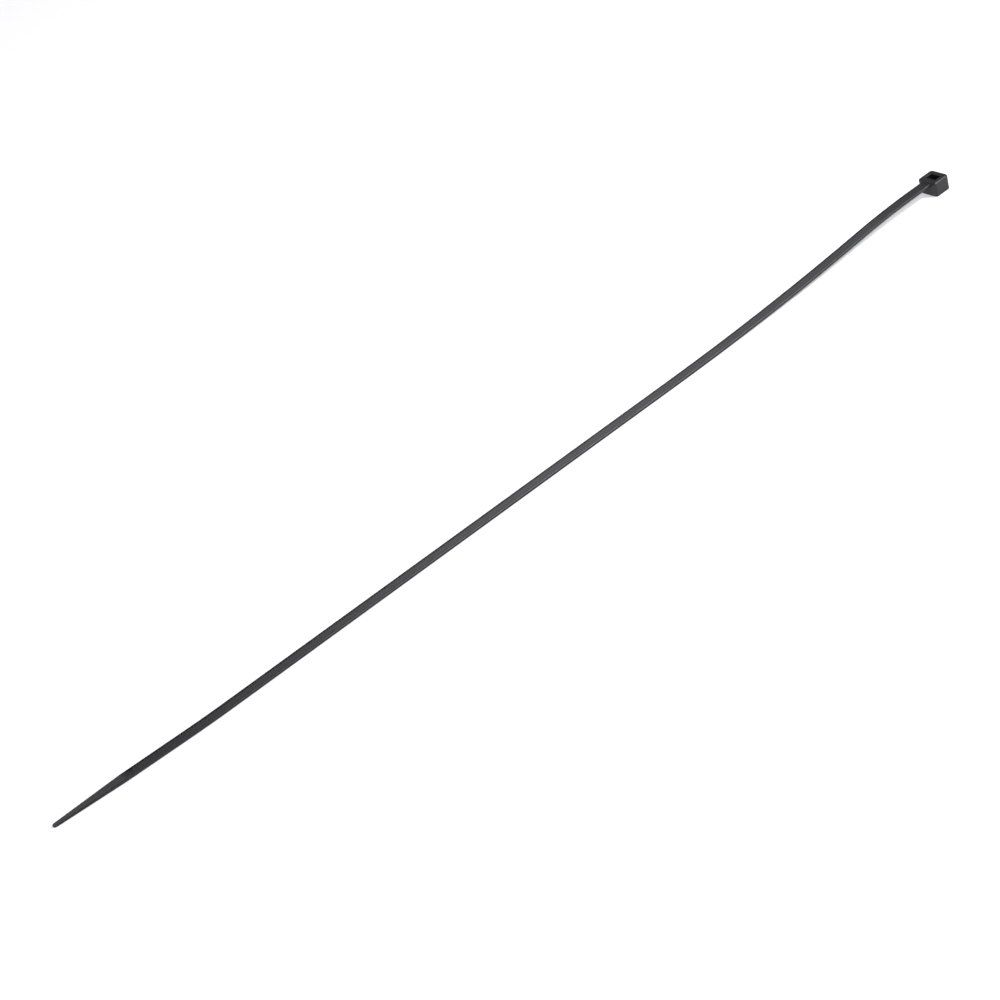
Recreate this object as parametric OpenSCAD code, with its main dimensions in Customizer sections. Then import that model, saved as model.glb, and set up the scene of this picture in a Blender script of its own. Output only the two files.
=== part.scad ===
// Nylon cable tie, moulded in one piece: a drafted head with a pawl in its slot,
// a strap with teeth between two side rails, and a smooth tapered tail.
// It lies as it comes to rest: the head stands on its exit face, and the strap leaves it high,
// comes down in a shallow S and then lies flat on its back. Its tail turns a little to one side.
// The origin is on the slot's axis at the level of the exit face. +X runs to the tip, +Z is up.
// All lengths are in millimetres.

/* [Overall] */
// Overall length, from the back of the head to the tip
total_length = 450; // [250:5:500]
// Plain strap between the head and the toothed run
root_length = 2.3; // [2:0.1:10]
// Smooth tail that is fed into the slot
tail_length = 30.5; // [20:0.5:60]

/* [Strap] */
// Width of the strap
strap_w = 4.8; // [3.6:0.1:6]
// Thickness of the strap over its rails
strap_t = 1.2; // [1.1:0.05:1.6]
// Bevel along the four long edges
edge_bevel = 0.3; // [0.1:0.05:0.35]
// Width of each side rail
rail_w = 0.55; // [0.4:0.05:0.9]
// Width of the tail at its rounded tip
tip_w = 2.4; // [1.8:0.1:3]
// Thickness of the tail at its tip
tip_t = 0.8; // [0.75:0.05:1]

/* [Teeth] */
// Distance from one tooth to the next
tooth_pitch = 1.21; // [0.9:0.01:2]
// Height of a tooth over the floor of the channel
tooth_depth = 0.42; // [0.2:0.02:0.5]
// How far the crests lie below the tops of the rails
tooth_recess = 0.12; // [0.05:0.01:0.2]
// Flat land on each crest
tooth_land = 0.2; // [0.1:0.05:0.4]
// How far the locking face leans towards the tip over its height
tooth_lean = 0.06; // [0:0.01:0.12]
// Length over which the channel's floor comes down to the first locking face
channel_lead = 1.5; // [0.3:0.1:3]
// Length over which the channel runs out at the tail
channel_runout = 4; // [0.6:0.1:6]

/* [Head] */
// Height of the head, from its exit face to its entry face
head_h = 6.2; // [5.4:0.1:7]
// Wall behind the slot, which the strap bears on
back_wall = 2.45; // [1.5:0.05:3]
// Wall that carries the strap
front_wall = 2; // [1.4:0.05:3]
// Wall on each side of the slot
side_wall = 2.1; // [1.4:0.05:3]
// Draft of each side over the height of the head
head_draft = 0.4; // [0.2:0.05:0.6]
// Radius of the upright corners at the entry face
corner_r = 1.35; // [1:0.05:1.35]
// Radius along the edges of the entry face
entry_edge_r = 0.65; // [0.3:0.05:0.7]
// Radius along the edges of the exit face
exit_edge_r = 0.3; // [0.1:0.05:0.4]
// How far the strap's top lies below the entry face
strap_drop = 0.45; // [0.4:0.05:1.2]

/* [Slot and pawl] */
// Play of the strap's thickness in the slot
slot_clear = 0.35; // [0.2:0.05:0.6]
// Play of the strap's width in the slot, on each side
slot_side_clear = 0.15; // [0.1:0.05:0.4]
// Depth of the lead-in over the pawl
lead_depth = 1.5; // [1.2:0.1:1.8]
// How far the lead-in opens towards the strap
lead_open = 1.6; // [0.8:0.1:1.8]
// Bevel round the other three edges of the entry
entry_bevel = 0.25; // [0.1:0.05:0.5]
// Thickness of the pawl at its hinge
pawl_t = 1.1; // [0.8:0.05:1.4]
// How much thinner the pawl is at its free end
pawl_taper = 0.3; // [0:0.05:0.5]
// Room behind the pawl for it to give way
pawl_gap = 1.1; // [0.5:0.05:1.4]
// Gap between the pawl and each side of the slot
pawl_side_gap = 0.3; // [0.2:0.05:0.5]
// Height of the pawl's free end over the exit face
pawl_rise = 0.5; // [0.3:0.1:1]
// Number of teeth on the pawl
pawl_teeth = 3; // [2:1:3]
// Height of the pawl's teeth
pawl_tooth = 0.36; // [0.2:0.02:0.4]
// Gap between the pawl's teeth and each rail of the strap
pawl_rail_clear = 0.15; // [0.1:0.05:0.3]
// Height up to which the pawl is free of the walls
pawl_free_h = 3.6; // [3:0.1:4]

/* [Lie of the strap] */
// Straight run from the head to the upper bend
straight_run = 7.6; // [4:0.2:20]
// Length of the upper bend
upper_bend = 31; // [20:1:60]
// Length of the lower bend, down to the table
lower_bend = 107; // [60:1:130]
// Sideways set that the pack has left in the strap
side_set = 1.6; // [0:0.1:5]
// Length over which the tail turns a little to the other side, flat on the table
tail_bend = 20; // [10:1:40]
// Straight end of the strap beyond that turn
tail_run = 58; // [45:1:100]
// How far the tail turns, in degrees
tail_turn = 2.7; // [0:0.1:4]

/* [Hidden] */
$fn = 48;
// Straight pieces that each bend is made of
upper_steps = 12;
lower_steps = 20;
tail_steps = 5;
// Length of strap that is rooted in the front wall
root_in = 1;
// How far a cutting solid reaches past what it cuts
over = 1;

slot_t = strap_t + slot_clear;
slot_w = strap_w + 2 * slot_side_clear;
slot_back = -slot_t / 2;
slot_front = slot_t / 2;
head_back = slot_back - back_wall;
head_front = slot_front + pawl_t + pawl_gap + front_wall;
head_l = head_front - head_back;
head_w = slot_w + 2 * side_wall;
head_mid = (head_front + head_back) / 2;
cavity_front = slot_front + pawl_t + pawl_gap;
lead_front = slot_front + lead_open;
pawl_w = slot_w - 2 * pawl_side_gap;

strap_rise = head_h - strap_drop - strap_t;
tip_x = total_length + head_back;
tail_x = tip_x - tail_length;
tip_r = tip_w / 2;
bend_x = head_front + straight_run;
mid_x = bend_x + upper_bend;
flat_x = mid_x + lower_bend;
bend_l = upper_bend + lower_bend;
turn_end_x = tip_x - tail_run;
turn_x = turn_end_x - tail_bend;
turn_slope = tan(tail_turn);
strap_start = head_front - root_in;

channel_w = strap_w - 2 * rail_w;
channel_x = head_front + root_length;
teeth_x = channel_x + channel_lead;
tooth_count = floor((tail_x - channel_runout - teeth_x) / tooth_pitch);
teeth_end = teeth_x + tooth_count * tooth_pitch;
channel_end = teeth_end + channel_runout;
crest_z = strap_t - tooth_recess;
floor_z = crest_z - tooth_depth;

// Share of the way down at x: 0 at the head, 1 on the table, along two bends that meet smoothly
function way_down(x) =
    x <= bend_x ? 0 :
    x <= mid_x ? pow(x - bend_x, 2) / (upper_bend * bend_l) :
    x <= flat_x ? 1 - pow(flat_x - x, 2) / (lower_bend * bend_l) :
    1;

// How far the turn of the tail has brought the strap sideways at x
function tail_side(x) =
    x <= turn_x ? 0 :
    x <= turn_end_x ? turn_slope * pow(x - turn_x, 2) / (2 * tail_bend) :
    turn_slope * (x - turn_x - tail_bend / 2);

// Middle of the strap in plan, and height of its back
function path_y(x) = side_set * way_down(x) - tail_side(x);
function path_z(x) = strap_rise * (1 - way_down(x));

// Share of the taper at x: 0 up to the tail, 1 where the tip's round end starts
function taper(x) = min(1, max(0, (x - tail_x) / (tip_x - tip_r - tail_x)));
function half_w(x) = strap_w / 2 + (tip_w - strap_w) / 2 * taper(x);
function thick(x) = strap_t + (tip_t - strap_t) * taper(x);

// Places along the strap between which its faces are flat
bend_stations = concat(
    [for (i = [0 : upper_steps]) bend_x + i * upper_bend / upper_steps],
    [for (i = [1 : lower_steps]) mid_x + i * lower_bend / lower_steps],
    [for (i = [0 : tail_steps]) turn_x + i * tail_bend / tail_steps]
);
stations = concat([strap_start], bend_stations, [tail_x, tip_x - tip_r]);
channel_stations = concat([channel_x], bend_stations, [channel_end]);

// Outline between a lower and an upper row of points, both given from the head to the tip
function closed(lower, upper) =
    concat(lower, [for (i = [len(upper) - 1 : -1 : 0]) upper[i]]);

// Stations of the strap carried on to the end of the tip
function strap_stations() = concat(stations, [tip_x]);

// The strap seen from the side
module strap_side() {
    polygon(closed(
        [for (x = strap_stations()) [x, path_z(x)]],
        [for (x = strap_stations()) [x, path_z(x) + thick(x)]]
    ));
}

// The strap seen from above, with its round end
module strap_plan() {
    polygon(closed(
        [for (x = stations) [x, path_y(x) - half_w(x)]],
        [for (x = stations) [x, path_y(x) + half_w(x)]]
    ));
    translate([tip_x - tip_r, path_y(tip_x - tip_r)]) intersection() {
        circle(r = tip_r);
        translate([0, -tip_r]) square([tip_r, 2 * tip_r]);
    }
}

// The strap seen along one pair of edge bevels: side 1 bevels the top at +Y, side -1 the top at -Y
module strap_bevels(side) {
    high = [for (x = strap_stations())
        [x, (side * path_y(x) + path_z(x) + half_w(x) + thick(x) - edge_bevel) / sqrt(2)]];
    low = [for (x = strap_stations())
        [x, (side * path_y(x) + path_z(x) - half_w(x) + edge_bevel) / sqrt(2)]];
    polygon(closed(low, high));
}

// A prism along Y with the given outline in X and Z
module along_y(width) {
    rotate([90, 0, 0]) linear_extrude(height = width, center = true) children();
}

// The strap with bevelled edges, before its channel is cut: what its four outlines have in common
module strap_blank() {
    reach = 4 * (head_h + strap_w + side_set);
    intersection() {
        along_y(reach) strap_side();
        translate([0, 0, -over]) linear_extrude(height = head_h + 2 * over) strap_plan();
        rotate([45, 0, 0])
            linear_extrude(height = reach, center = true)
                strap_bevels(1);
        rotate([135, 0, 0])
            linear_extrude(height = reach, center = true)
                strap_bevels(-1);
    }
}

// Surface of one tooth from its valley: the steep locking face looks to the head,
// then comes the land, then the long ramp down to the next valley
function tooth_points(x) = [
    [x, path_z(x) + floor_z],
    [x + tooth_lean, path_z(x + tooth_lean) + crest_z],
    [x + tooth_lean + tooth_land, path_z(x + tooth_lean + tooth_land) + crest_z]
];

// All that is open over the teeth, seen from the side
module channel_side() {
    sky = head_h + over;
    teeth = [for (i = [0 : tooth_count - 1]) each tooth_points(teeth_x + i * tooth_pitch)];
    polygon(concat(
        [[channel_x, sky], [channel_x, path_z(channel_x) + strap_t]],
        teeth,
        [[teeth_end, path_z(teeth_end) + floor_z],
         [channel_end, path_z(channel_end) + strap_t],
         [channel_end, sky]]
    ));
}

// The channel between the rails, seen from above
module channel_plan() {
    polygon(closed(
        [for (x = channel_stations) [x, path_y(x) - channel_w / 2]],
        [for (x = channel_stations) [x, path_y(x) + channel_w / 2]]
    ));
}

// The toothed channel as the solid that the mould takes out of the strap
module channel() {
    intersection() {
        along_y(4 * (strap_w + side_set)) channel_side();
        linear_extrude(height = head_h + 2 * over) channel_plan();
    }
}

module strap() {
    difference() {
        strap_blank();
        channel();
    }
}

// Outline of one side of the head, out from the middle of a corner: drafted, with both edges rounded
module head_wall() {
    lean = atan(head_draft / head_h);
    top_z = head_h - entry_edge_r;
    top_u = corner_r - entry_edge_r;
    low_u = top_u + (entry_edge_r - exit_edge_r) / cos(lean) - (top_z - exit_edge_r) * tan(lean);
    intersection() {
        union() {
            polygon([
                [0, 0],
                [low_u, 0],
                [low_u + exit_edge_r * cos(lean), exit_edge_r * (1 - sin(lean))],
                [top_u + entry_edge_r * cos(lean), top_z - entry_edge_r * sin(lean)],
                [top_u, head_h],
                [0, head_h]
            ]);
            translate([top_u, top_z]) circle(r = entry_edge_r);
            translate([low_u, exit_edge_r]) circle(r = exit_edge_r);
        }
        square([2 * corner_r, head_h]);
    }
}

// Full outline of the head, with the corner centres at -reach and +reach
module head_outline(reach) {
    translate([-reach, 0]) square([2 * reach, head_h]);
    translate([reach, 0]) head_wall();
    translate([-reach, 0]) mirror([1, 0]) head_wall();
}

// The head before it is hollowed: two crossing extrusions and four turned corners
module head_block() {
    reach_x = head_l / 2 - corner_r;
    reach_y = head_w / 2 - corner_r;
    translate([head_mid, 0, 0]) {
        along_y(2 * reach_y) head_outline(reach_x);
        rotate([0, 0, 90]) along_y(2 * reach_x) head_outline(reach_y);
        for (i = [-1, 1], j = [-1, 1])
            translate([i * reach_x, j * reach_y, 0]) rotate_extrude() head_wall();
    }
}

// The slot right through the head, with its bevelled entry and the lead-in over the pawl
module slot_cut() {
    entry_z = head_h - entry_bevel;
    lead_z = head_h - lead_depth;
    past = entry_bevel + over;
    along_y(slot_w) polygon([
        [slot_back, -over],
        [slot_front, -over],
        [slot_front, lead_z],
        [lead_front, head_h],
        [lead_front, head_h + over],
        [slot_back - past, head_h + over],
        [slot_back, entry_z]
    ]);
    rotate([0, 0, 90]) along_y_from(slot_back, lead_front) polygon([
        [-slot_w / 2 - past, head_h + over],
        [-slot_w / 2, entry_z],
        [slot_w / 2, entry_z],
        [slot_w / 2 + past, head_h + over]
    ]);
}

// A prism with its outline in Y and Z, between two places along X
module along_y_from(from, to) {
    translate([0, -(from + to) / 2, 0]) along_y(to - from) children();
}

// The room round and behind the pawl, open at the exit face
module pawl_room() {
    translate([slot_back, -slot_w / 2, -over])
        cube([cavity_front - slot_back, slot_w, pawl_free_h + over]);
}

// The pawl hangs from the front wall into the slot, and its free end points to the exit
module pawl() {
    top_z = pawl_free_h + 0.4;
    along_y(pawl_w) polygon([
        [slot_front, pawl_rise],
        [slot_front + pawl_t - pawl_taper, pawl_rise],
        [slot_front + pawl_t, pawl_free_h],
        [slot_front + pawl_t, top_z],
        [slot_front, top_z]
    ]);
    along_y(channel_w - 2 * pawl_rail_clear) pawl_comb();
}

// Teeth of the pawl: each ramp looks up to the entry, each locking face down to the exit
module pawl_comb() {
    inset = 0.1;
    for (i = [0 : pawl_teeth - 1])
        translate([slot_front, pawl_rise + i * tooth_pitch]) polygon([
            [inset, 0],
            [0, 0],
            [-pawl_tooth, tooth_lean],
            [-pawl_tooth, tooth_lean + tooth_land],
            [0, tooth_pitch],
            [inset, tooth_pitch]
        ]);
}

module head() {
    difference() {
        head_block();
        slot_cut();
        pawl_room();
    }
    pawl();
}

module cable_tie() {
    color([0.13, 0.13, 0.14]) union() {
        head();
        strap();
    }
}

cable_tie();
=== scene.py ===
# %% [markdown]
# A long nylon cable tie, lying on a pale table.
#
# The tie is one moulding: a small square head with a slot and a pawl, a slim strap with a toothed
# channel between two rails, and a smooth tapered tail. The CAD model gives its sizes and its place.
# This script makes the piece that is seen in its place, with bevelled edges, a parting line and a
# satin black finish, and then sets up the camera, the floor and the lights.

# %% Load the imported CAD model
import math

import bmesh
import bpy
import numpy as np
from mathutils import Matrix, Vector


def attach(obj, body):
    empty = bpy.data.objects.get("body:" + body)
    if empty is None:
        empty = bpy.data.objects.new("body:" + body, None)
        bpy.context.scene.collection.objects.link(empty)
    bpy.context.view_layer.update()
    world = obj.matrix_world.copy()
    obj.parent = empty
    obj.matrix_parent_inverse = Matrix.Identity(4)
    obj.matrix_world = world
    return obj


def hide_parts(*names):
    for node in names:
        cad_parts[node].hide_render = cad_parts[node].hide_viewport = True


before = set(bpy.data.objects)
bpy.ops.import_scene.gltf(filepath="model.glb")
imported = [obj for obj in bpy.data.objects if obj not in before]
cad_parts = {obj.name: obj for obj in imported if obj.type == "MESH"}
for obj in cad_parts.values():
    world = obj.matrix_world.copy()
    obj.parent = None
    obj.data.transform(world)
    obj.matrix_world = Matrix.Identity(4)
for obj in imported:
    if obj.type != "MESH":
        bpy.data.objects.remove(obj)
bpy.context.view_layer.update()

# %% [markdown]
# Sizes. They repeat the values of the CAD source, in millimetres, because that is how a toolmaker
# would read them. Everything is turned into metres in one place, when a mesh is made.
# The origin is on the slot's axis at the exit face, +X runs to the tip and +Z is up.

# %% Sizes of the head
MM = 0.001
HEAD_H = 6.2
HEAD_BACK = -3.225
HEAD_FRONT = 4.975
HEAD_W = 9.3
HEAD_DRAFT = 0.4
CORNER_R = 1.35
ENTRY_R = 0.65
EXIT_R = 0.3
SLOT_BACK = -0.775
SLOT_FRONT = 0.775
SLOT_W = 5.1
LEAD_FRONT = 2.375
LEAD_DEPTH = 1.5
SLOT_ROUND = 0.25
CAVITY_FRONT = 2.975
PAWL_W = 4.5
PAWL_T = 1.1
PAWL_TAPER = 0.3
PAWL_RISE = 0.5
PAWL_FREE_H = 3.6
PAWL_TEETH = 3
PAWL_TOOTH = 0.36
PAWL_EASE = 0.1
PAWL_TOP = 0.4
COMB_W = 3.4
COMB_LAP = 0.1
COMB_EASE = 0.05
print("the head is", round(HEAD_FRONT - HEAD_BACK, 2), "by", HEAD_W, "by", HEAD_H, "mm")

# %% Sizes of the strap, its teeth and its tail
STRAP_W = 4.8
STRAP_T = 1.2
STRAP_RISE = 4.55
EDGE = 0.3
EDGE_EASE = 0.08
SIDE_DRAFT = 0.02
RAIL_W = 0.55
RAIL_ROUND = 0.05
TOOTH_COUNT = 333
TOOTH_PITCH = 1.21
TOOTH_LEAN = 0.06
TOOTH_LAND = 0.2
CREST_Z = 1.08
FLOOR_Z = 0.66
ROOT_X = 3.975
CHANNEL_X = 7.275
TEETH_X = 8.775
TEETH_END = TEETH_X + TOOTH_COUNT * TOOTH_PITCH
RUN_OUT_L = 4.0
CHANNEL_END = TEETH_END + RUN_OUT_L
TAIL_X = 416.275
TIP_X = 446.775
TIP_W = 2.4
TIP_T = 0.8
print("the toothed run is", round(TEETH_END - TEETH_X, 2), "mm long")

# %% [markdown]
# How the strap lies. The head stands on its exit face, so the strap leaves it high over the table.
# It comes down in a shallow S, made of two parabolas that meet smoothly, and the tail turns a
# little to the far side. The whole tie is modelled straight, as it leaves the mould, and then each
# point is moved down and sideways by these two functions. That is simpler than a curve to follow,
# and it keeps every tooth square to the rails.

# %% The lie of the strap
BEND_X = 12.575
UPPER_BEND = 31.0
LOWER_BEND = 107.0
SIDE_SET = 1.6
PAST_TURN_L = 58.0
TURN_END_X = TIP_X - PAST_TURN_L
TAIL_BEND = 20.0
TAIL_TURN = math.radians(2.7)
TAIL_SLOPE = math.tan(TAIL_TURN)


def way_down(x):
    """Share of the way down to the table at x: 0 at the head, 1 where the strap lies flat."""
    mid = BEND_X + UPPER_BEND
    flat = mid + LOWER_BEND
    both = UPPER_BEND + LOWER_BEND
    upper = (x - BEND_X) ** 2 / (UPPER_BEND * both)
    lower = 1 - (flat - x) ** 2 / (LOWER_BEND * both)
    return np.where(x <= BEND_X, 0, np.where(x <= mid, upper, np.where(x <= flat, lower, 1)))


def tail_side(x):
    """How far the turn of the tail has brought the strap sideways at x."""
    run = x - (TURN_END_X - TAIL_BEND)
    bend = TAIL_SLOPE * run**2 / (2 * TAIL_BEND)
    straight = TAIL_SLOPE * (run - TAIL_BEND / 2)
    return np.where(run <= 0, 0, np.where(run <= TAIL_BEND, bend, straight))


def lay_down(points):
    """Points of the straight tie, in millimetres, moved to where they lie."""
    laid = points.copy()
    down = way_down(points[:, 0])
    laid[:, 1] += SIDE_SET * down - tail_side(points[:, 0])
    laid[:, 2] -= STRAP_RISE * down
    return laid


print("the strap lies flat from x =", round(BEND_X + UPPER_BEND + LOWER_BEND, 1), "mm on")

# %% [markdown]
# Helpers. Each part of the tie starts as a list of points in millimetres and a list of faces, each
# of which names its corners. Writing both out by a rule gives full control over every edge, which
# small moulded shapes need. These helpers turn the two lists into an object, read a finished mesh
# back from an object with modifiers, and remove what has served its turn.

# %% Make an object from points and faces
def add_object(name, points, faces):
    """An object in the scene from points in millimetres and faces that name their corners."""
    mesh = bpy.data.meshes.new(name)
    mesh.from_pydata([Vector(p) * MM for p in points], [], faces)
    mesh.update()
    made = bpy.data.objects.new(name, mesh)
    bpy.context.scene.collection.objects.link(made)
    return made


def take_result(made):
    """The object's mesh with its modifiers applied, as a plain mesh."""
    graph = bpy.context.evaluated_depsgraph_get()
    result = bpy.data.meshes.new_from_object(made.evaluated_get(graph))
    result.name = made.name
    return result


def throw_away(*objects):
    """Removes objects that have served their turn."""
    for done in objects:
        bpy.data.objects.remove(done)


# %% [markdown]
# The finish. Black nylon straight from the mould has a satin skin: not a mirror and not chalky,
# with a grain far finer than a tooth. Three things vary over it here. A slow mottle and faint
# streaks along the strap, from how the melt flowed, shift the colour. A fine grain breaks up the
# gloss. A few specks of dust lie on it. All are noise in Object coordinates, so they stay put when
# the camera moves. The values that don't vary sit on the shader's own sockets.
# Painting the grain in an image would also do, but noise needs no file and never repeats.

# %% Nodes for the finish
def add_node(tree, kind, place, **values):
    node = tree.nodes.new(kind)
    node.location = place
    for name, value in values.items():
        setattr(node, name, value)
    return node


def noise(tree, coordinates, scale, detail, place, stretch=(1, 1, 1)):
    """A noise texture in metres: scale is waves per metre, and stretch multiplies it along an axis."""
    mapping = add_node(tree, "ShaderNodeMapping", (place[0] - 200, place[1]))
    mapping.inputs["Scale"].default_value = stretch
    texture = add_node(tree, "ShaderNodeTexNoise", place)
    texture.inputs["Scale"].default_value = scale
    texture.inputs["Detail"].default_value = detail
    tree.links.new(coordinates, mapping.inputs["Vector"])
    tree.links.new(mapping.outputs["Vector"], texture.inputs["Vector"])
    return texture.outputs["Fac"]


def spread(tree, value, low, high, to_low, to_high, place):
    """Maps low..high of a value to to_low..to_high."""
    node = add_node(tree, "ShaderNodeMapRange", place)
    node.inputs["From Min"].default_value = low
    node.inputs["From Max"].default_value = high
    node.inputs["To Min"].default_value = to_low
    node.inputs["To Max"].default_value = to_high
    tree.links.new(value, node.inputs["Value"])
    return node.outputs["Result"]


def mix_colours(tree, factor, first, second, place):
    """First and second are colours, or sockets that give them.

    A Mix node has its sockets for every kind of data. For colours they are inputs 6 and 7, and
    output 2. Input 0 is the factor.
    """
    node = add_node(tree, "ShaderNodeMix", place, data_type="RGBA")
    for socket, colour in ((node.inputs[6], first), (node.inputs[7], second)):
        if isinstance(colour, tuple):
            socket.default_value = colour
        else:
            tree.links.new(colour, socket)
    tree.links.new(factor, node.inputs[0])
    return node.outputs[2]


# %% The satin black nylon
NYLON_DARK = (0.0035, 0.0032, 0.0044, 1.0)
NYLON_LIGHT = (0.0068, 0.0064, 0.0084, 1.0)
DUST = (0.30, 0.29, 0.28, 1.0)
NYLON_IOR = 1.42
MOTTLE_WAVES = 45
STREAK_WAVES = 900
STREAK_STRETCH = (0.03, 1, 1)
GRAIN_WAVES = 5200
SUM_RANGE = (0.7, 1.3)
GRAIN_RANGE = (0.3, 0.7)
ROUGHNESS = (0.31, 0.41)
GRAIN_BUMP = 0.25
GRAIN_HEIGHT = 0.00002
SPECK_CELLS = 75
SPECK_RIM = (0.012, 0.02)


def make_nylon():
    material = bpy.data.materials.new("satin_black_nylon")
    material.use_nodes = True
    tree = material.node_tree
    tree.nodes.clear()
    output = add_node(tree, "ShaderNodeOutputMaterial", (900, 0))
    shader = add_node(tree, "ShaderNodeBsdfPrincipled", (600, 0))
    tree.links.new(shader.outputs["BSDF"], output.inputs["Surface"])
    shader.inputs["IOR"].default_value = NYLON_IOR
    at = add_node(tree, "ShaderNodeTexCoord", (-1100, 0)).outputs["Object"]

    mottle = noise(tree, at, MOTTLE_WAVES, 3, (-600, 400))
    streak = noise(tree, at, STREAK_WAVES, 2, (-600, 150), stretch=STREAK_STRETCH)
    grain = noise(tree, at, GRAIN_WAVES, 3, (-600, -150))

    both = add_node(tree, "ShaderNodeMath", (-350, 300), operation="ADD")
    tree.links.new(mottle, both.inputs[0])
    tree.links.new(streak, both.inputs[1])
    tone = spread(tree, both.outputs[0], *SUM_RANGE, 0, 1, (-150, 300))
    black = mix_colours(tree, tone, NYLON_DARK, NYLON_LIGHT, (50, 300))

    cells = add_node(tree, "ShaderNodeTexVoronoi", (-600, 700))
    cells.inputs["Scale"].default_value = SPECK_CELLS
    tree.links.new(at, cells.inputs["Vector"])
    speck = spread(tree, cells.outputs["Distance"], *SPECK_RIM, 1, 0, (-350, 700))
    dusty = mix_colours(tree, speck, black, DUST, (300, 400))
    tree.links.new(dusty, shader.inputs["Base Color"])

    gloss = spread(tree, grain, *GRAIN_RANGE, *ROUGHNESS, (-150, -100))
    tree.links.new(gloss, shader.inputs["Roughness"])
    bump = add_node(tree, "ShaderNodeBump", (300, -200))
    bump.inputs["Strength"].default_value = GRAIN_BUMP
    bump.inputs["Distance"].default_value = GRAIN_HEIGHT
    tree.links.new(grain, bump.inputs["Height"])
    tree.links.new(bump.outputs["Normal"], shader.inputs["Normal"])
    return material


nylon = make_nylon()
print("finish:", nylon.name, "with", len(nylon.node_tree.nodes), "nodes")

# %% [markdown]
# The section of the strap. On the real tie the two halves of the mould meet at mid-thickness, so
# each side face has a faint line there and leans in a little above and below it. The long edges
# are bevelled, so that they don't cut into the cables, and each bevel catches the light as one fine
# line. On top, two rails guard the channel, and their inner edges are eased too.
# The section is drawn once, as a row of points from the channel's wall on one side, round the
# back, to the wall on the other side, and every stretch of the strap uses it.

# %% Points of the strap's section
EDGE_OF_THICK = 0.45
EDGE_OF_HALF_W = 0.9
DRAFT_OF_HALF_W = 0.1
EASE_TURN = math.pi / 8


def half_section(half_w, thick):
    """One side of the strap from the rail's top, out and down to the back: (y, z) pairs.

    Each end of a bevel is eased by one short facet, which turns half as far as the bevel does.
    On the small rings of the tip, the bevel and the draft shrink with the ring.
    """
    edge = min(EDGE, EDGE_OF_THICK * thick, EDGE_OF_HALF_W * half_w)
    inner = half_w - min(SIDE_DRAFT, DRAFT_OF_HALF_W * half_w) - edge
    ease = EDGE_EASE * edge / EDGE
    along, across = ease * math.cos(EASE_TURN), ease * math.sin(EASE_TURN)
    top = [
        (inner, thick),
        (inner + along, thick - across),
        (inner + edge - across, thick - edge + along),
        (inner + edge, thick - edge),
    ]
    back = [(y, thick - z) for y, z in reversed(top)]
    return [*top, (half_w, thick / 2), *back]


def open_section(half_w, thick, rail_in):
    """The section with the rails' tops, open over the channel: from +Y round the back to -Y."""
    side = [(rail_in, thick), *half_section(half_w, thick)]
    return side + [(-y, z) for y, z in reversed(side)]


RAIL_IN = STRAP_W / 2 - RAIL_W
RAIL_TOP_IN = RAIL_IN + RAIL_ROUND
section = open_section(STRAP_W / 2, STRAP_T, RAIL_TOP_IN)
print("the section has", len(section), "points")

# %% [markdown]
# One tooth. The teeth repeat 333 times without change, so one slice of the strap, a pitch long, is
# modelled with about two dozen faces: its outer skin, the two walls of the channel and the tooth's
# three faces. The steep locking face looks to the head, where the pawl catches it. Behind it come
# a narrow land and a long ramp. The slice is open at both ends, so that neighbours weld together.

# %% The slice of strap with one tooth
def make_tooth_slice():
    points, faces = [], []
    wall_top = STRAP_T - RAIL_ROUND
    skin = [(RAIL_IN, wall_top), *section, (-RAIL_IN, wall_top)]
    for x in (0, TOOTH_PITCH):
        points += [(x, y, STRAP_RISE + z) for y, z in skin]
    n = len(skin)
    faces += [(i, i + 1, n + i + 1, n + i) for i in range(n - 1)]
    tooth = [
        (0, FLOOR_Z),
        (TOOTH_LEAN, CREST_Z),
        (TOOTH_LEAN + TOOTH_LAND, CREST_Z),
        (TOOTH_PITCH, FLOOR_Z),
    ]
    near = len(points)
    points += [(x, RAIL_IN, STRAP_RISE + z) for x, z in tooth]
    far = len(points)
    points += [(x, -RAIL_IN, STRAP_RISE + z) for x, z in tooth]
    faces += [(near + i, near + i + 1, far + i + 1, far + i) for i in range(3)]
    faces.append((0, n, near + 3, near + 2, near + 1, near))
    faces.append((n - 1, far, far + 1, far + 2, far + 3, 2 * n - 1))
    return add_object("tooth_slice", points, faces)


tooth_slice = make_tooth_slice()
print("one slice has", len(tooth_slice.data.polygons), "faces")

# %% [markdown]
# The toothed run. A Geometry Nodes tree places the slice once per tooth: a Mesh Line gives the
# places, Instance on Points puts the slice there, Realize Instances turns the copies into real
# mesh and Set Material gives them the nylon. An Array modifier would do the same, but the tree has
# named inputs that say what they are, so a longer tie is a change of one number.

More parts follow.
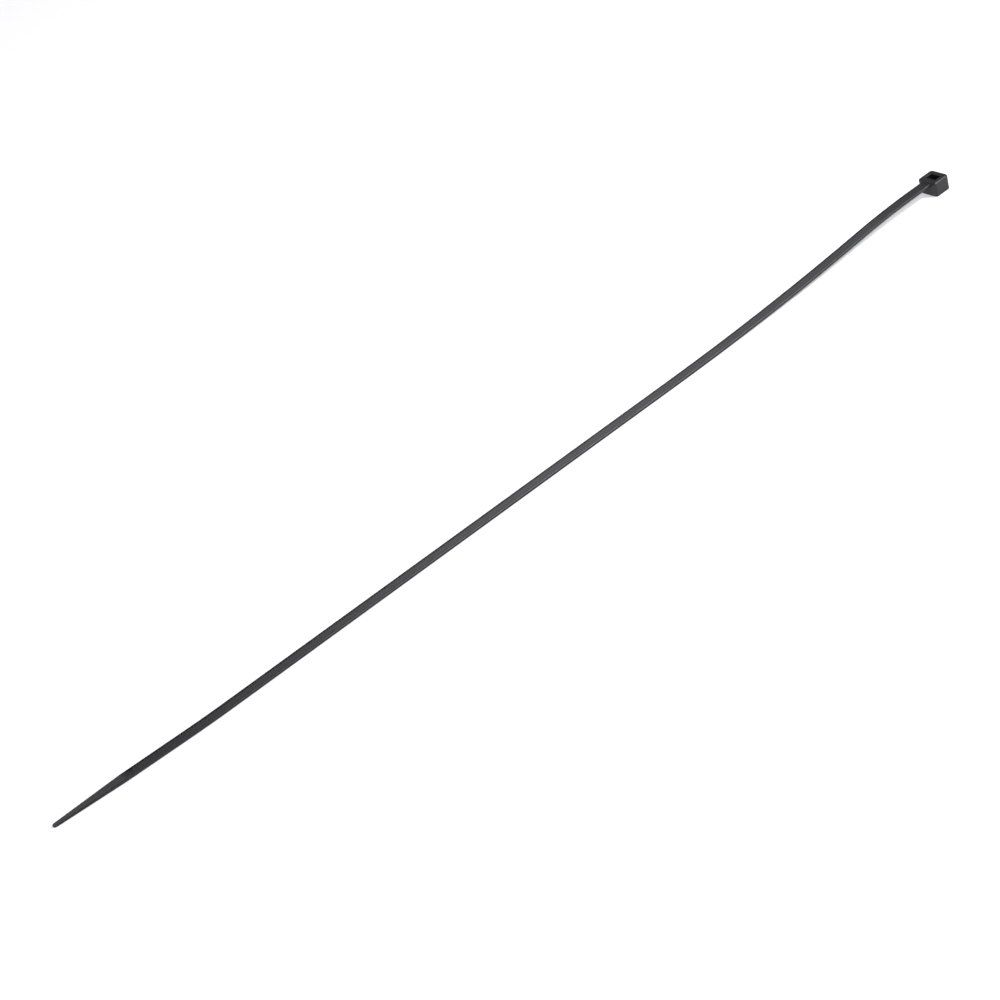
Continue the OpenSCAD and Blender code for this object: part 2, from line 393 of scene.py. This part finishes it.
# %% The tree that repeats the tooth
def make_tooth_tree():
    tree = bpy.data.node_groups.new("toothed_run", "GeometryNodeTree")
    sockets = tree.interface
    sockets.new_socket("Geometry", in_out="OUTPUT", socket_type="NodeSocketGeometry")
    for name, kind in (
        ("Slice", "NodeSocketObject"),
        ("Teeth", "NodeSocketInt"),
        ("Pitch", "NodeSocketFloat"),
        ("Start", "NodeSocketFloat"),
        ("Finish", "NodeSocketMaterial"),
    ):
        sockets.new_socket(name, in_out="INPUT", socket_type=kind)
    given = add_node(tree, "NodeGroupInput", (-600, 0))
    start = add_node(tree, "ShaderNodeCombineXYZ", (-400, -150))
    step = add_node(tree, "ShaderNodeCombineXYZ", (-400, -300))
    line = add_node(tree, "GeometryNodeMeshLine", (-200, 100), mode="OFFSET")
    slice_info = add_node(tree, "GeometryNodeObjectInfo", (-200, -200))
    copies = add_node(tree, "GeometryNodeInstanceOnPoints", (50, 50))
    real = add_node(tree, "GeometryNodeRealizeInstances", (250, 50))
    paint = add_node(tree, "GeometryNodeSetMaterial", (450, 50))
    result = add_node(tree, "NodeGroupOutput", (650, 50))
    link = tree.links.new
    link(given.outputs["Start"], start.inputs["X"])
    link(given.outputs["Pitch"], step.inputs["X"])
    link(given.outputs["Teeth"], line.inputs["Count"])
    link(start.outputs["Vector"], line.inputs["Start Location"])
    link(step.outputs["Vector"], line.inputs["Offset"])
    link(given.outputs["Slice"], slice_info.inputs["Object"])
    link(line.outputs["Mesh"], copies.inputs["Points"])
    link(slice_info.outputs["Geometry"], copies.inputs["Instance"])
    link(copies.outputs["Instances"], real.inputs["Geometry"])
    link(real.outputs["Geometry"], paint.inputs["Geometry"])
    link(given.outputs["Finish"], paint.inputs["Material"])
    link(paint.outputs["Geometry"], result.inputs["Geometry"])
    return tree


def run_tree(name, tree, values):
    """Runs a tree on an empty mesh, with inputs given by name, and returns the plain mesh."""
    host = bpy.data.objects.new(name, bpy.data.meshes.new(name))
    bpy.context.scene.collection.objects.link(host)
    modifier = host.modifiers.new(name, "NODES")
    modifier.node_group = tree
    for socket in tree.interface.items_tree:
        if socket.in_out == "INPUT" and socket.name in values:
            modifier[socket.identifier] = values[socket.name]
    mesh = take_result(host)
    throw_away(host)
    return mesh


toothed_run = run_tree("toothed_run", make_tooth_tree(), {
    "Slice": tooth_slice,
    "Teeth": TOOTH_COUNT,
    "Pitch": TOOTH_PITCH * MM,
    "Start": TEETH_X * MM,
    "Finish": nylon,
})
throw_away(tooth_slice)
print("the toothed run has", len(toothed_run.polygons), "faces")

# %% [markdown]
# The plain ends of the strap. At the head there is a short smooth root, and the channel's floor
# comes down from it to the first tooth. At the other end the floor runs out upwards into the tail,
# which gets narrower and thinner and ends in a round tip that is easy to thread. These stretches
# are lofted: rings of the same section, each with its own width and thickness, joined by faces.

# %% Joining rings with faces
def bridge(faces, first, second, count, closed):
    """Adds a row of four-sided faces between two rings, which start at points first and second."""
    for i in range(count if closed else count - 1):
        j = (i + 1) % count
        faces.append((first + i, first + j, second + j, second + i))


def add_ring(points, x, ring):
    """Adds a section of the strap at x, and returns the number of its first point."""
    start = len(points)
    points += [(x, y, STRAP_RISE + z) for y, z in ring]
    return start


def run_out(points, faces, toothed, plain, x):
    """The channel's floor and walls from the toothed end at x, rising to the top of the plain end."""
    far = len(section) - 1
    wall_top = STRAP_T - RAIL_ROUND
    wall = [(RAIL_IN, wall_top), (RAIL_IN, FLOOR_Z), (-RAIL_IN, FLOOR_Z), (-RAIL_IN, wall_top)]
    w = add_ring(points, x, wall)
    faces.append((w + 1, plain, plain + far, w + 2))
    faces.append((toothed, plain, w))
    faces.append((w, plain, w + 1))
    faces.append((toothed + far, plain + far, w + 3))
    faces.append((w + 3, plain + far, w + 2))


# %% The root and the start of the channel
def make_root():
    points, faces = [], []
    n = len(section)
    inside = add_ring(points, ROOT_X, section)
    start = add_ring(points, CHANNEL_X, section)
    end = add_ring(points, TEETH_X, section)
    faces.append(tuple(range(n)))
    bridge(faces, inside, start, n, closed=True)
    bridge(faces, start, end, n, closed=False)
    run_out(points, faces, end, start, TEETH_X)
    return add_object("root", points, faces)


# %% The tapered tail and its round tip
TAIL_STEPS = 12
TIP_STEPS = 10
LEAST_HALF_W_SQUARED = 1e-4
TIP_LIFT = 0.48


def tail_ring(x):
    """The section at x on the tail: narrower and thinner towards the tip, then rounded off."""
    tip_r = TIP_W / 2
    share = np.clip((x - TAIL_X) / (TIP_X - tip_r - TAIL_X), 0, 1)
    half_w = STRAP_W / 2 + (TIP_W - STRAP_W) / 2 * share
    thick = STRAP_T + (TIP_T - STRAP_T) * share
    into_tip = x - (TIP_X - tip_r)
    lift = 0.0
    if into_tip > 0:
        half_w = math.sqrt(max(tip_r**2 - into_tip**2, LEAST_HALF_W_SQUARED))
        edge = min(EDGE, TIP_X - x)
        cut = EDGE - math.sqrt(EDGE**2 - (EDGE - edge) ** 2)
        lift = min(cut, TIP_LIFT * thick)
        thick -= 2 * lift
    rail_in = half_w * RAIL_TOP_IN / (STRAP_W / 2)
    rail_in = min(rail_in, half_section(half_w, thick)[0][0])
    return [(y, z + lift) for y, z in open_section(half_w, thick, rail_in)]


def make_tail():
    points, faces = [], []
    n = len(section)
    tip_r = TIP_W / 2
    shoulder = TIP_X - tip_r
    places = list(np.linspace(TAIL_X, shoulder, TAIL_STEPS))
    turns = [math.radians(90 * k / TIP_STEPS) for k in range(1, TIP_STEPS + 1)]
    places += [shoulder + tip_r * math.sin(a) for a in turns]
    before = add_ring(points, TEETH_END, section)
    last = add_ring(points, CHANNEL_END, section)
    bridge(faces, before, last, n, closed=False)
    run_out(points, faces, before, last, TEETH_END)
    for x in places:
        ring = add_ring(points, x, tail_ring(x))
        bridge(faces, last, ring, n, closed=True)
        last = ring
    faces.append(tuple(range(last, last + n)))
    return add_object("tail", points, faces)


root, tail = make_root(), make_tail()
print("root:", len(root.data.polygons), "faces, tail:", len(tail.data.polygons), "faces")

# %% [markdown]
# Welding the strap. The three stretches share the rings where they meet, so merging points that
# lie within a micrometre of each other makes one closed skin.

# %% Weld root, toothed run and tail
WELD = 1e-6


def weld(name, meshes):
    skin = bmesh.new()
    for mesh in meshes:
        skin.from_mesh(mesh)
    bmesh.ops.remove_doubles(skin, verts=skin.verts, dist=WELD)
    bmesh.ops.recalc_face_normals(skin, faces=skin.faces)
    open_edges = sum(1 for e in skin.edges if not e.is_manifold)
    mesh = bpy.data.meshes.new(name)
    skin.to_mesh(mesh)
    skin.free()
    made = bpy.data.objects.new(name, mesh)
    bpy.context.scene.collection.objects.link(made)
    return made, open_edges


strap, open_edges = weld("strap", [root.data, toothed_run, tail.data])
throw_away(root, tail)
print("strap:", len(strap.data.polygons), "faces,", open_edges, "open edges")

# %% [markdown]
# The head. It is a drafted block: the mould's draft makes it a little smaller at its exit face,
# its upright corners are round, and the rim of the entry face is eased with a flat between two
# short curves, which shows as a soft line of light. The block is lofted from rounded rectangles,
# one per height, whose radius follows the profile of the wall.

# %% Profile of the head's wall and its block
# The rim's directions in degrees, from outwards at 0 to upwards at 90. Its flat is the jump from
# 25 to 65.
CORNER_STEPS = 8
EXIT_STEPS = 5
RIM_TURNS = (8, 17, 25, 65, 73, 82, 90)


def wall_profile():
    """(radius, height) pairs from the exit face, with its round edge, up to the entry's rim."""
    lean = math.atan(HEAD_DRAFT / HEAD_H)
    top_z = HEAD_H - ENTRY_R
    top_u = CORNER_R - ENTRY_R
    low_u = top_u + (ENTRY_R - EXIT_R) / math.cos(lean) - (top_z - EXIT_R) * math.tan(lean)
    low = np.linspace(-math.pi / 2, -lean, EXIT_STEPS)
    high = [-lean, *np.radians(RIM_TURNS)]
    pairs = [(low_u + EXIT_R * math.cos(a), EXIT_R + EXIT_R * math.sin(a)) for a in low]
    pairs += [(top_u + ENTRY_R * math.cos(a), top_z + ENTRY_R * math.sin(a)) for a in high]
    return pairs


def make_block():
    points, faces = [], []
    mid = (HEAD_BACK + HEAD_FRONT) / 2
    reach_x = (HEAD_FRONT - HEAD_BACK) / 2 - CORNER_R
    reach_y = HEAD_W / 2 - CORNER_R
    corners = [(1, 1, 0), (-1, 1, 90), (-1, -1, 180), (1, -1, 270)]
    turns = [90 * k / CORNER_STEPS for k in range(CORNER_STEPS + 1)]
    n = len(corners) * len(turns)
    rings = []
    for radius, z in wall_profile():
        rings.append(len(points))
        for sx, sy, first in corners:
            for turn in turns:
                a = math.radians(first + turn)
                x = mid + sx * reach_x + radius * math.cos(a)
                y = sy * reach_y + radius * math.sin(a)
                points.append((x, y, z))
    for low, high in zip(rings, rings[1:]):
        bridge(faces, low, high, n, closed=True)
    faces.append(tuple(reversed(range(n))))
    faces.append(tuple(range(rings[-1], rings[-1] + n)))
    return add_object("block", points, faces)


block = make_block()
print("the head's block has", len(block.data.polygons), "faces")

# %% [markdown]
# The slot and the pawl. The slot goes right through the head. Its entry is eased on three sides,
# and on the fourth a ramp leads the tail in over the pawl. The pawl hangs from that side with free
# room behind it, and its three small teeth catch in the strap's. The openings are prisms taken out
# with Boolean modifiers, and the pawl is a prism put back in, which is how the two halves of the
# mould and its core would form them.

# %% Prisms for the openings and the pawl
OVER = 1.0
EASE_STEPS = 4


def prism_along_y(name, outline, width):
    """A prism with its outline in X and Z."""
    n = len(outline)
    points = [(x, -width / 2, z) for x, z in outline] + [(x, width / 2, z) for x, z in outline]
    faces = [tuple(range(n)), tuple(reversed(range(n, 2 * n)))]
    bridge(faces, n, 0, n, closed=True)
    return add_object(name, points, faces)


def prism_along_x(name, outline, start, end):
    """A prism with its outline in Y and Z."""
    n = len(outline)
    points = [(start, y, z) for y, z in outline] + [(end, y, z) for y, z in outline]
    faces = [tuple(reversed(range(n))), tuple(range(n, 2 * n))]
    bridge(faces, 0, n, n, closed=True)
    return add_object(name, points, faces)


def eased(edge, side):
    """Points of a rounded entry edge, from inside the slot out onto the entry face."""
    turns = np.linspace(0, math.pi / 2, EASE_STEPS)
    r = SLOT_ROUND
    return [(edge + side * r * (1 - math.cos(a)), HEAD_H - r + r * math.sin(a)) for a in turns]


# %% Cut the slot and put in the pawl
slot_outline = [
    (SLOT_BACK, -OVER),
    (CAVITY_FRONT, -OVER),
    (CAVITY_FRONT, PAWL_FREE_H),
    (SLOT_FRONT, PAWL_FREE_H),
    (SLOT_FRONT, HEAD_H - LEAD_DEPTH),
    (LEAD_FRONT, HEAD_H),
    (LEAD_FRONT, HEAD_H + OVER),
    (SLOT_BACK - SLOT_ROUND, HEAD_H + OVER),
    *reversed(eased(SLOT_BACK, -1)),
]
slot = prism_along_y("slot", slot_outline, SLOT_W)
half_slot = SLOT_W / 2
entry = prism_along_x("entry", [
    (-half_slot - SLOT_ROUND, HEAD_H + OVER),
    *reversed(eased(-half_slot, -1)),
    *eased(half_slot, 1),
    (half_slot + SLOT_ROUND, HEAD_H + OVER),
], SLOT_BACK, LEAD_FRONT)

pawl = prism_along_y("pawl", [
    (SLOT_FRONT, PAWL_RISE),
    (SLOT_FRONT + PAWL_T - PAWL_TAPER, PAWL_RISE),
    (SLOT_FRONT + PAWL_T, PAWL_FREE_H),
    (SLOT_FRONT + PAWL_T - PAWL_EASE, PAWL_FREE_H + PAWL_TOP),
    (SLOT_FRONT + PAWL_EASE, PAWL_FREE_H + PAWL_TOP),
    (SLOT_FRONT, PAWL_FREE_H),
], PAWL_W)

comb_outline = [(SLOT_FRONT + COMB_LAP, PAWL_RISE + COMB_EASE)]
for k in range(PAWL_TEETH):
    foot = PAWL_RISE + k * TOOTH_PITCH
    comb_outline += [
        (SLOT_FRONT, foot),
        (SLOT_FRONT - PAWL_TOOTH, foot + TOOTH_LEAN),
        (SLOT_FRONT - PAWL_TOOTH, foot + TOOTH_LEAN + TOOTH_LAND),
    ]
comb_top = PAWL_RISE + PAWL_TEETH * TOOTH_PITCH
comb_outline += [(SLOT_FRONT, comb_top), (SLOT_FRONT + COMB_LAP, comb_top - COMB_EASE)]
comb = prism_along_y("comb", comb_outline, COMB_W)
print("the pawl has", PAWL_TEETH, "teeth on", round(comb_top - PAWL_RISE, 2), "mm")

# %% Combine the head and the strap into one moulding
def outwards(made):
    """A closed mesh whose faces all point outwards, as a Boolean needs."""
    skin = bmesh.new()
    skin.from_mesh(made.data)
    bmesh.ops.recalc_face_normals(skin, faces=skin.faces)
    skin.to_mesh(made.data)
    skin.free()


def combine(base, steps):
    """The base with each tool cut out of it or joined to it, in order, as a plain mesh."""
    for operation, tool in steps:
        outwards(tool)
        modifier = base.modifiers.new(tool.name, "BOOLEAN")
        modifier.operation = operation
        modifier.solver = "EXACT"
        modifier.object = tool
    mesh = take_result(base)
    throw_away(base, *[tool for _, tool in steps])
    return mesh


outwards(block)
moulding = combine(block, [
    ("DIFFERENCE", slot),
    ("DIFFERENCE", entry),
    ("UNION", pawl),
    ("UNION", comb),
    ("UNION", strap),
])
print("the moulding has", len(moulding.polygons), "faces")

# %% [markdown]
# Laying it down. Each point of the straight tie moves to where it lies on the table. Then edges
# that turn by more than a set angle are marked sharp, and so is the parting line, which turns too
# little to be found by its angle. A Weighted Normal modifier gives the large flat faces their own
# direction, so the light rolls only over the fillets.

# %% Lay the moulding down and mark its crisp edges
SHARP = math.radians(23.3)
NEAR = 0.001


def on_parting_line(points):
    """Which points of the straight tie lie on the line where the halves of the mould met."""
    at_middle = np.abs(points[:, 2] - STRAP_RISE - STRAP_T / 2) < NEAR
    at_side = np.abs(points[:, 1]) > STRAP_W / 2 - NEAR
    return at_middle & at_side & (points[:, 0] > HEAD_FRONT - NEAR) & (points[:, 0] < TAIL_X + NEAR)


def finish_moulding(mesh):
    """Lays the mesh down and marks its crisp edges. Returns what there is to print."""
    skin = bmesh.new()
    skin.from_mesh(mesh)
    bmesh.ops.remove_doubles(skin, verts=skin.verts, dist=WELD)
    skin.verts.index_update()
    straight = np.array([vert.co for vert in skin.verts]) / MM
    parting = on_parting_line(straight)
    for face in skin.faces:
        face.smooth = True
        face.material_index = 0
    for edge in skin.edges:
        crisp = edge.calc_face_angle(math.pi) > SHARP
        edge.smooth = not (crisp or all(parting[vert.index] for vert in edge.verts))
    for vert, place in zip(skin.verts, lay_down(straight)):
        vert.co = Vector(place) * MM
    open_edges = sum(1 for edge in skin.edges if not edge.is_manifold)
    volume = skin.calc_volume() / MM**3
    skin.to_mesh(mesh)
    skin.free()
    return int(parting.sum()), open_edges, volume


parting_points, open_edges, volume = finish_moulding(moulding)
print("open edges:", open_edges, " volume in mm3:", round(volume, 1))
print("points on the parting line:", parting_points)

# %% The finished piece
tie = bpy.data.objects.new("moulded_tie", moulding)
bpy.context.scene.collection.objects.link(tie)
moulding.materials.clear()
moulding.materials.append(nylon)
weighting = tie.modifiers.new("flat_faces_stay_flat", "WEIGHTED_NORMAL")
weighting.keep_sharp = True
weighted = take_result(tie)
tie.modifiers.clear()
tie.data = weighted
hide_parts("cable_tie")
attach(tie, "root")
print("triangles:", sum(len(p.vertices) - 2 for p in tie.data.polygons))

# %% [markdown]
# The camera. The photograph was taken from the tip's side with a long lens, so the far head is
# only a little smaller than the near tip. These numbers come from matching the strap's edges, the
# spacing of its teeth and the corners of the head.

# %% Camera
AIM = Vector((0.23396, -0.00345, 0.0))
DISTANCE = 1.51484
AZIMUTH = math.radians(146.970)
ELEVATION = math.radians(31.127)
ROLL = math.radians(-17.353)
LENS = 150.37
SENSOR_W = 36
NEAREST = 0.01
FARTHEST = 50


def make_camera():
    back = Vector((
        math.sin(AZIMUTH) * math.cos(ELEVATION),
        -math.cos(AZIMUTH) * math.cos(ELEVATION),
        math.sin(ELEVATION),
    ))
    right = Vector((math.cos(AZIMUTH), math.sin(AZIMUTH), 0.0))
    up = back.cross(right)
    turned_right = math.cos(ROLL) * right + math.sin(ROLL) * up
    turned_up = math.cos(ROLL) * up - math.sin(ROLL) * right
    lens = bpy.data.cameras.new("photo_camera")
    lens.sensor_width = SENSOR_W
    lens.lens = LENS
    lens.clip_start = NEAREST
    lens.clip_end = FARTHEST
    camera = bpy.data.objects.new("photo_camera", lens)
    place = Matrix((turned_right, turned_up, back)).transposed().to_4x4()
    place.translation = AIM + DISTANCE * back
    camera.matrix_world = place
    bpy.context.scene.collection.objects.link(camera)
    bpy.context.scene.camera = camera
    return camera


camera = make_camera()
print("camera at", [round(v, 3) for v in camera.matrix_world.translation])

# %% [markdown]
# The table. A wide pale surface, matt enough to show only a soft shadow.

# %% Floor
TABLE_COLOUR = (0.87, 0.87, 0.845, 1.0)
TABLE_ROUGHNESS = 0.8
TABLE_REACH = 6000


def make_floor():
    material = bpy.data.materials.new("pale_table")
    material.use_nodes = True
    shader = material.node_tree.nodes["Principled BSDF"]
    shader.inputs["Base Color"].default_value = TABLE_COLOUR
    shader.inputs["Roughness"].default_value = TABLE_ROUGHNESS
    far = TABLE_REACH
    corners = [(-far, -far, 0), (far, -far, 0), (far, far, 0), (-far, far, 0)]
    floor = add_object("pale_table", corners, [(0, 1, 2, 3)])
    floor.data.materials.append(material)
    return floor


floor = make_floor()
print("table:", round(2 * TABLE_REACH * MM), "m on each side")

# %% [markdown]
# The light. Black plastic shows mostly what it reflects, so the lamps are placed by what each face
# mirrors towards the camera. The ramps of the teeth mirror a spot high up behind the strap, so the
# rear box hangs there: it is near and small, and its reflection fades towards both ends. The near
# bevel mirrors a spot up on the head's side, and the small key box there draws the fine bright
# line along it. The little rim box does the same for the rim of the head, and the rail box for the
# flat tops of the rails in the middle of the strap. None of these may be strong, because they throw
# shadows that the camera sees. So the strong front box lights the table from behind the camera. It
# is no larger than 0.8 m, because a wider box would throw a soft shadow out on both sides of the
# raised strap, and this one's shadow hides behind it.
# The flat top of the head mirrors the dim room and stays dark.

# %% Soft boxes and the room
MIDDLE = (0.17, 0.0, 0.0)
COOL = (0.98, 0.975, 1.04)
ROOM_COLOUR = (0.98, 0.98, 1.0, 1.0)
ROOM_STRENGTH = 0.34


def soft_box(name, place, towards, size, power):
    """A rectangular lamp: its place, aim and size in metres, and its power in watts."""
    lamp = bpy.data.lights.new(name, "AREA")
    lamp.shape = "RECTANGLE"
    lamp.size, lamp.size_y = size
    lamp.energy = power
    lamp.color = COOL
    made = bpy.data.objects.new(name, lamp)
    made.location = place
    aim = Vector(towards) - Vector(place)
    made.rotation_euler = aim.to_track_quat("-Z", "Y").to_euler()
    bpy.context.scene.collection.objects.link(made)
    return made


soft_box("front_box", (2.23, 3.16, 2.28), MIDDLE, (0.8, 0.8), 180)
soft_box("rear_box", (0.26, -0.93, 0.90), MIDDLE, (0.4, 0.4), 2.6)
soft_box("key_box", (-0.25, 0.475, 0.66), MIDDLE, (0.2, 0.2), 7.0)
soft_box("rim_box", (-0.29, 0.24, 0.33), (0, 0, 0), (0.12, 0.12), 0.4)
soft_box("rail_box", (-0.154, -0.457, 0.329), MIDDLE, (0.12, 0.12), 0.15)

room = bpy.data.worlds.new("room")
room.use_nodes = True
background = room.node_tree.nodes["Background"]
background.inputs["Color"].default_value = ROOM_COLOUR
background.inputs["Strength"].default_value = ROOM_STRENGTH
scene = bpy.context.scene
scene.world = room
scene.view_settings.view_transform = "Standard"
